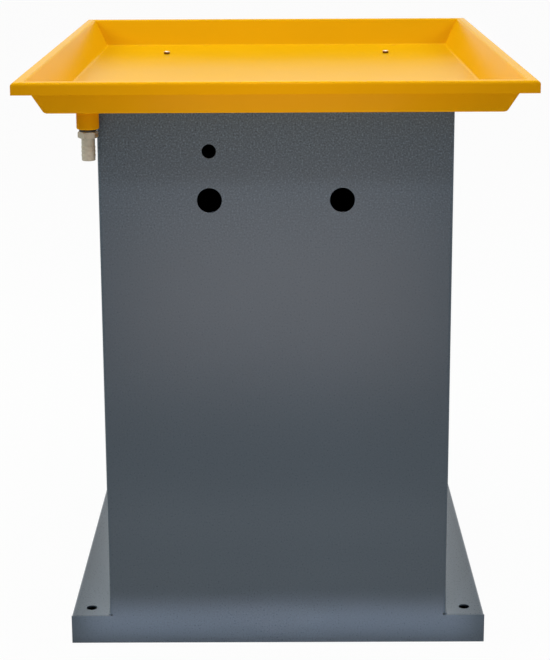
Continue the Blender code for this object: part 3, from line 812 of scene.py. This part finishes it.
def hexBar(flats, low, high, turn=0):
    bm = bmesh.new()
    radius = flats / 2 / math.cos(math.pi / 6)
    bmesh.ops.create_cone(
        bm, cap_ends=True, segments=6, radius1=radius, radius2=radius, depth=high - low,
        matrix=Matrix.Translation((0, 0, (low + high) / 2)) @ Matrix.Rotation(turn, 4, "Z"),
    )
    return bm


def hexHead(flats, low, high, bore=0, turn=0, bothEnds=True, edge=hexagon["edge"]):
    piece = looseShape(hexBar(flats, low, high, turn))  # a hexagon with its corners turned off
    corner = flats / 2 / math.cos(math.pi / 6) + hexagon["clear"]
    start = flats / 2 * hexagon["chamferStart"]
    fall = (corner - start) * math.tan(math.radians(hexagon["chamferAngle"]))
    profile = [(bore / 2, high), (start, high), (corner, high - fall)]
    profile += [(corner, low + fall), (start, low)] if bothEnds else [(corner, low)]
    profile.append((bore / 2, low))
    envelope = looseShape(turned(profile, hexagon["chamferSteps"], bored=bool(bore)))
    return work(piece, keepInside=envelope, edge=edge, rounds=1, sharp=24)


drain = {
    "place": (*tray["drain"], column["height"]),
    "boss": (0.0250, 0.0198, 0.017),  # diameter, length, bore
    "bossRound": 0.0017,
    "bossRoundSteps": 6,
    "bossChamfer": 0.0008,  # in the bore
    "weld": 0.0016,
    "weldSink": 0.0002,  # into the boss and the tray
    "weldSides": (10, 96),  # round the bead, round the boss
    "weldRipple": ((0.14, 24), (0.06, 7)),  # share of the bead, times round the boss
    "seal": (0.0195, 0.0020),
    "sealChamfer": 0.0005,
    "stub": (0.0164, 0.012),
    "stubChamfer": 0.0006,
    "thread": (0.0014, 0.0007, 0.0022),  # pitch, depth, plain length over the hexagon
    "hexFlats": 0.0200,
    "hexHeight": 0.0074,
    "hexTurn": 45,  # degrees, one flat a little right of the front
    "hexBore": 0.002,  # wider than the bore, inside the turned core
    "coreSink": 0.0005,  # neck and stub run into the hexagon
    "bore": 0.010,
    "neck": 0.0150,
    "ridge": 0.0157,
    "ridgeForm": (0.0004, 0.0001, 0.0006),  # rise over the ridge, taper, length to its widest
    "plain": 0.0091,  # smooth length under the hexagon
    "pitch": 0.0045,
    "ridges": 3,
    "tip": 0.0025,
    "tipChamfer": (0.0004, 0.0003),  # outside, inside
}


def makeBoss(spec, at):
    size, length, bore = spec["boss"]
    rim, chamfer = spec["bossRound"], spec["bossChamfer"]
    profile = [(bore / 2, 0), (size / 2, 0)]
    for step in range(spec["bossRoundSteps"] + 1):  # rounded lower edge
        angle = step / spec["bossRoundSteps"] * math.pi / 2
        profile.append((size / 2 - rim * (1 - math.cos(angle)), -length + rim * (1 - math.sin(angle))))
    profile += [(bore / 2 + chamfer, -length), (bore / 2, -length + chamfer)]
    work(addPiece("drainBoss", placed(turned(profile), at), "yellow_paint", "stand", "drain_boss"), edge=0)


def layWeld(spec, at):
    bm = bmesh.new()  # fillet weld under the tray, laid in short overlapping drops
    around = spec["boss"][0] / 2 - spec["weldSink"]
    beadSides, steps = spec["weldSides"]
    bmesh.ops.create_circle(
        bm, segments=beadSides, radius=spec["weld"],
        matrix=Matrix.Translation((around, 0, 0)) @ Matrix.Rotation(math.pi / 2, 4, "X"),
    )
    spinFull(bm, [*bm.verts, *bm.edges], steps)
    for vert in bm.verts:
        turn = math.atan2(vert.co.y, vert.co.x)
        ripple = 1
        for share, times in spec["weldRipple"]:
            ripple += share * math.sin(times * turn)
        out = Vector((vert.co.x, vert.co.y, 0)).normalized() * around
        vert.co = out + (vert.co - out) * ripple
    slit(bm, (0, 0, spec["weldSink"]), (0, 0, 1), clear_outer=True)
    bmesh.ops.recalc_face_normals(bm, faces=bm.faces)
    bmesh.ops.holes_fill(bm, edges=bm.edges, sides=0)
    addPiece("drainWeld", placed(bm, at), "yellow_paint", "stand")


def makeSeal(spec, at, top):
    bore = spec["boss"][2]
    size, thick = spec["seal"]
    chamfer = spec["sealChamfer"]
    profile = [(bore / 2, top), (size / 2 - chamfer, top), (size / 2, top - chamfer)]
    profile += [(size / 2, top - thick + chamfer), (size / 2 - chamfer, top - thick), (bore / 2, top - thick)]
    addPiece("drainSeal", placed(turned(profile), at), "rubber", "stand", "drain_seal")


def makeBarb(spec, at, top):
    low = top - spec["hexHeight"]
    size, length = spec["stub"]
    inner, neck, ridge = spec["bore"] / 2, spec["neck"] / 2, spec["ridge"] / 2
    chamfer, sink = spec["stubChamfer"], spec["coreSink"]
    profile = [(inner, top + length), (size / 2 - chamfer, top + length), (size / 2, top + length - chamfer)]
    pitch, depth, plain = spec["thread"]
    thread = top + length - pitch
    while thread > top + plain:  # threaded stub
        profile += [(size / 2, thread), (size / 2 - depth, thread - depth)]
        thread -= pitch
    profile += [(size / 2 - depth, top - sink), (neck, low + sink)]
    height = low - spec["plain"]
    rise, taper, widest = spec["ridgeForm"]
    for _ in range(spec["ridges"]):
        profile += [(neck, height + rise), (ridge - taper, height), (ridge, height - widest)]
        height -= spec["pitch"]
    end = height - spec["tip"]
    outside, inside = spec["tipChamfer"]
    profile += [(neck, height), (neck, end + outside), (neck - outside, end)]  # cut off square
    profile += [(inner + inside, end), (inner, end + inside)]
    bm = turned(profile)
    turn = math.radians(spec["hexTurn"])
    addTo(bm, hexHead(spec["hexFlats"], low, top, spec["bore"] + spec["hexBore"], turn, edge=0))
    barb = addPiece("hoseBarb", placed(bm, at), "nickel", "stand", "hose_barb")
    work(barb, edge=0.00015, rounds=2, sharp=30)


def makeDrain(spec):
    at = Matrix.Translation(spec["place"])
    makeBoss(spec, at)
    layWeld(spec, at)
    top = -spec["boss"][1] - sheet["fit"]
    makeSeal(spec, at, top)
    top -= spec["seal"][1] + sheet["fit"]
    makeBarb(spec, at, top)


makeDrain(drain)
print("drain fitted")

bolts = {
    "seat": 0.6466,
    "size": 0.005,
    "flats": 0.008,
    "head": 0.0035,
    "headLift": 0.0003,  # hexagon over the seat
    "collar": (0.94, 0.0004),  # share of the flats, height
    "dish": (0.55, 0.0006),  # share of the flats, depth of the tool
    "threadTop": 0.6385,
    "threadDepth": 0.0005,
    "threadSteps": 18,
    "pitch": 0.0008,
    "point": (0.001, 0.0006),  # taper, length
    "end": 0.6300,
    "washer": (0.010, 0.0010, 0.6384),  # diameter, thickness, top
    "nut": (0.008, 0.0045, 0.6371),  # flats, height, top
    "steps": 48,
}


def trayBolt(spec):
    radius = spec["size"] / 2
    seat, end = spec["seat"], spec["end"]
    threadTop, threadDepth = spec["threadTop"], spec["threadDepth"]
    share, rise = spec["collar"]
    collar = spec["flats"] / 2 * share
    profile = [(0, seat + rise), (collar, seat + rise), (collar, seat), (radius, seat), (radius, threadTop)]
    for step in range(1, spec["threadSteps"] + 1):
        profile.append((radius - threadDepth * (step % 2), threadTop - step * spec["pitch"] / 2))
    taper, length = spec["point"]
    profile += [(radius - threadDepth, end + length), (radius - taper, end), (0, end)]
    bm = turned(profile, spec["steps"], bored=False)
    top = seat + spec["head"]
    addTo(bm, hexHead(spec["flats"], seat + spec["headLift"], top, bothEnds=False, edge=0))
    share, depth = spec["dish"]
    dish = drill(spec["flats"] * share, "Z", (0, 0, top), depth)
    return work(looseShape(bm), tools=[dish], edge=0.0001, rounds=1, sharp=28)


def trayWasher(spec):
    size, thick, top = spec["washer"]
    bore = spec["size"] / 2 + sheet["fit"]
    profile = [(bore, top), (size / 2, top), (size / 2, top - thick), (bore, top - thick)]
    return work(looseShape(turned(profile, spec["steps"])), edge=0.0002)


def trayNut(spec):
    flats, height, top = spec["nut"]
    return hexHead(flats, top - height, top, spec["size"] + 2 * sheet["fit"])


def makeBolts(spec):
    shapes = {"bolt": trayBolt(spec), "washer": trayWasher(spec), "nut": trayNut(spec)}
    for where, (x, y) in boltPlaces.items():
        for kind, shape in shapes.items():
            bm = bmesh.new()
            bm.from_mesh(shape.data)
            placed(bm, Matrix.Translation((x, y, 0)))
            name = "tray" + kind.title() + where.title().replace("_", "")
            work(addPiece(name, bm, "zinc", "stand", f"tray_{kind}_{where}"), edge=0)
    for shape in shapes.values():
        drop(shape)


makeBolts(bolts)
print("tray bolted down")

door = {
    "half": 0.150,
    "low": 0.090,
    "high": 0.570,
    "fold": 0.015,
    "face": 0.300,  # y of the outer face
    "lockHole": 0.0186,
}


def makeDoor(spec):
    bm = blank([-spec["half"], spec["half"]], [spec["low"], spec["high"]])
    rims = list(bm.edges)
    fold(bm, rims, (0, spec["fold"], 0))
    rollBend(bm, rims, sheet["bend"])
    faceOut(bm, (0, -1, 0))
    turnRound(bm, math.pi, "Z")
    shift(bm, (0, spec["face"], 0))
    leaf = addPiece("rearDoor", bm, "grey_paint", "door", "rear_door")
    x, y, z = lock["place"]
    work(leaf, sheet["wall"], [drill(spec["lockHole"], "Y", (x, y - sheet["wall"] / 2, z))])


hinge = {
    "axis": (0.1515, 0.3051),
    "lows": {"lower": 0.150, "upper": 0.4497},
    "leafHeight": 0.030,
    "leaf": 0.022,
    "corner": (0.004, 5),  # radius, steps
    "eye": 0.0048,  # outside radius
    "roll": (295, 44),  # degrees, steps
    "pin": 0.005,
    "pinChamfer": 0.0006,
    "pinHead": (0.008, 0.002),
    "pinSteps": 40,
    "rivet": 0.0055,
    "rivetDome": 0.5,  # share of a half ball
    "rivetSides": (28, 16),
    "rivetSink": (0.0001, 0.0002),  # middle and cut under the face of the leaf
    "rivetOut": 0.0145,  # from the pin
    "rivetHeights": (0.008, 0.022),
}


def hingeLeaf(spec):
    bm = bmesh.new()  # flat leaf first, then its edge rolled round the pin
    edge = bm.edges.new([bm.verts.new((0, -spec["eye"], z)) for z in (0, spec["leafHeight"])])
    fold(bm, [edge], (spec["leaf"], 0, 0))
    turn, steps = spec["roll"]
    bmesh.ops.spin(
        bm, geom=[edge, *edge.verts], cent=(0, 0, 0), axis=(0, 0, 1), angle=-math.radians(turn), steps=steps,
    )
    bmesh.ops.remove_doubles(bm, verts=bm.verts, dist=sameSpot)
    outline = [edge for edge in bm.edges if edge.is_boundary]
    outer = [edge for edge in outline if min(vert.co.x for vert in edge.verts) > spec["leaf"] - nearly]
    ends = [vert for edge in outer for vert in edge.verts]
    radius, steps = spec["corner"]
    bmesh.ops.bevel(
        bm, geom=ends, offset=radius, segments=steps, profile=0.5, affect="VERTICES", material=-1,
    )
    faceOut(bm, (0, -1, 0))
    return bm


def hingeRivets(spec, side, heights):
    x, y = spec["axis"]
    face = y - spec["eye"] + sheet["wall"]
    middle, cut = spec["rivetSink"]
    around, upward = spec["rivetSides"]
    bm = bmesh.new()
    for z in heights:
        ball = bmesh.ops.create_uvsphere(bm, u_segments=around, v_segments=upward, radius=spec["rivet"] / 2)
        bmesh.ops.scale(bm, vec=(1, spec["rivetDome"], 1), verts=ball["verts"])
        bmesh.ops.translate(bm, vec=(x + side * spec["rivetOut"], face - middle, z), verts=ball["verts"])
    slit(bm, (0, face - cut, 0), (0, 1, 0), clear_inner=True)
    bmesh.ops.holes_fill(bm, edges=bm.edges, sides=0)
    return bm


def hingePin(spec, full):
    wide, thick = spec["pinHead"]
    half, chamfer = spec["pin"] / 2, spec["pinChamfer"]
    under = -sheet["fit"]
    profile = [(0, full), (half - chamfer, full), (half, full - chamfer), (half, under)]
    profile += [(wide / 2, under), (wide / 2, under - thick), (0, under - thick)]
    return turned(profile, spec["pinSteps"], bored=False)


def makeHinges(spec):
    full = 2 * spec["leafHeight"] + sheet["fit"]
    for where, low in spec["lows"].items():
        at = Matrix.Translation((*spec["axis"], low))
        for kind, body, side in (("panel", "stand", 1), ("door", "door", -1)):
            bm = hingeLeaf(spec)
            heights = [low + up for up in spec["rivetHeights"]]
            if kind == "door":
                placed(bm, Matrix.Translation((0, 0, full)) @ Matrix.Rotation(math.pi, 4, "Y"))
                heights = [low + (full - up) for up in spec["rivetHeights"]]
            name = where + kind.title()
            leaf = addPiece(name + "HingeLeaf", placed(bm, at), "zinc", body, f"{where}_hinge_{kind}_leaf")
            work(leaf, sheet["wall"], edge=0.0003)
            addPiece(name + "HingeRivets", hingeRivets(spec, side, heights), "zinc", body)
        bm = placed(hingePin(spec, full), at)
        pin = addPiece(where + "HingePin", bm, "zinc", "stand", f"{where}_hinge_pin")
        work(pin, edge=0.0004, rounds=3)


lock = {
    "place": (-0.120, 0.300, 0.330),
    "flange": (0.026, 0.002),  # diameter, height
    "flangeChamfer": 0.0008,
    "barrel": 0.018,
    "nut": (0.024, 0.004),
    "spindle": 0.008,
    "knobBase": 0.022,
    "knob": (0.032, 0.010, 0.018),  # length, width, height
    "knobFoot": ((1, 0), (1, 0.16), (0.93, 0.22)),  # share of the base, of the height
    "knobGrip": (  # share of the length, of the width, of the height
        (0.84, 1.25, 0.36),
        (1, 1, 0.50),
        (1, 1, 0.90),
        (0.95, 0.86, 0.97),
        (0.86, 0.62, 1),
    ),
    "knobSteps": 64,
    "cam": (0.016, 0.0025, 0.041),  # width, thickness, reach
    "camCorner": (0.45, 10),  # share of the width, steps
    "camFront": -0.0165,
    "screw": (0.011, 0.0025),
    "screwRound": (0.55, 0.0012),  # share of the height, taper
    "cross": (0.0032, 0.0005, 0.0011),  # half length, half width, depth
    "steps": 48,
}


def ringOf(bm, wide, deep, height, steps):
    level = Matrix.Translation((0, 0, height))
    made = bmesh.ops.create_circle(bm, segments=steps, radius=0.5, matrix=level)["verts"]
    bmesh.ops.scale(bm, vec=(wide, deep, 1), verts=made)
    return list({edge for vert in made for edge in vert.link_edges})


def makeLockBody(spec, at, top):
    fit = sheet["fit"]
    half, chamfer = spec["flange"][0] / 2, spec["flangeChamfer"]
    back = spec["camFront"] + fit
    bore, barrel = spec["spindle"] / 2 + fit, spec["barrel"] / 2
    profile = [(bore, top), (half - chamfer, top), (half, top - chamfer), (half, fit)]
    profile += [(barrel, fit), (barrel, back), (bore, back)]
    work(addPiece("lockBody", placed(turned(profile), at), "zinc", "door", "lock_body"), edge=0.0002)


def makeLockNut(spec, at):
    flats, tall = spec["nut"]
    seat = -sheet["wall"] - sheet["fit"]
    bm = bmesh.new()
    addTo(bm, hexHead(flats, seat - tall, seat, spec["barrel"] + 2 * sheet["fit"]))
    work(addPiece("lockNut", placed(bm, at), "zinc", "door", "lock_nut"), edge=0)


def makeKnob(spec, at, low):
    long, narrow, tall = spec["knob"]
    base, half = spec["knobBase"], spec["spindle"] / 2
    rings = [(base * share, base * share, low + tall * up) for share, up in spec["knobFoot"]]
    rings += [(long * x, narrow * y, low + tall * up) for x, y, up in spec["knobGrip"]]
    bm = bmesh.new()
    loops = [ringOf(bm, *ring, spec["knobSteps"]) for ring in rings]
    for first, second in zip(loops, loops[1:]):
        bmesh.ops.bridge_loops(bm, edges=first + second)
    bmesh.ops.contextual_create(bm, geom=loops[0])
    bmesh.ops.contextual_create(bm, geom=loops[-1])
    bmesh.ops.recalc_face_normals(bm, faces=bm.faces)
    end = spec["camFront"] - spec["cam"][1] + sheet["fit"]
    spindle = turned([(0, low), (half, low), (half, end), (0, end)], spec["steps"], bored=False)
    addTo(bm, looseShape(spindle))
    knob = addPiece("lockKnob", placed(bm, at), "black_plastic", "latch", "lock_knob")
    work(knob, edge=0.0003, rounds=2, sharp=40)


def makeCam(spec, at):
    wide, thick, reach = spec["cam"]
    level = spec["camFront"] - thick / 2
    size = Matrix.Diagonal((wide, reach + wide / 2, thick, 1))
    bm = bmesh.new()
    bmesh.ops.create_cube(bm, size=1, matrix=Matrix.Translation((0, (reach - wide / 2) / 2, level)) @ size)
    uprights = [edge for edge in bm.edges if edge.calc_length() < thick * 1.01]
    share, steps = spec["camCorner"]
    bmesh.ops.bevel(
        bm, geom=uprights, offset=share * wide, offset_type="OFFSET", segments=steps, profile=0.5,
        affect="EDGES", material=-1,
    )
    cam = addPiece("lockCam", bm, "zinc", "latch", "lock_cam")
    work(cam, tools=[drill(spec["spindle"] + 2 * sheet["fit"], "Z", (0, 0, level))], edge=0.0003)
    cam.data.transform(at)


def makeLockScrew(spec, at):
    wide, thick = spec["screw"]
    share, taper = spec["screwRound"]
    seat = spec["camFront"] - spec["cam"][1] - sheet["fit"]
    end = seat - thick
    profile = [(0, seat), (wide / 2, seat), (wide / 2, seat - thick * share)]
    profile += [(wide / 2 - taper, end), (0, end)]
    screw = addPiece("lockScrew", turned(profile, spec["steps"], bored=False), "zinc", "latch", "lock_screw")
    long, slim, depth = spec["cross"]
    low, high = end - sheet["overcut"], end + depth
    cross = [blade((-x, -y, low), (x, y, high)) for x, y in ((long, slim), (slim, long))]
    work(screw, tools=cross, edge=0.0002)
    screw.data.transform(at)


def makeLock(spec):
    at = Matrix.Translation(spec["place"]) @ Matrix.Rotation(-math.pi / 2, 4, "X")
    top = sheet["fit"] + spec["flange"][1]
    makeLockBody(spec, at, top)
    makeLockNut(spec, at)
    makeKnob(spec, at, top + sheet["fit"])
    makeCam(spec, at)
    makeLockScrew(spec, at)


makeDoor(door)
makeHinges(hinge)
makeLock(lock)
print("door hung and locked")
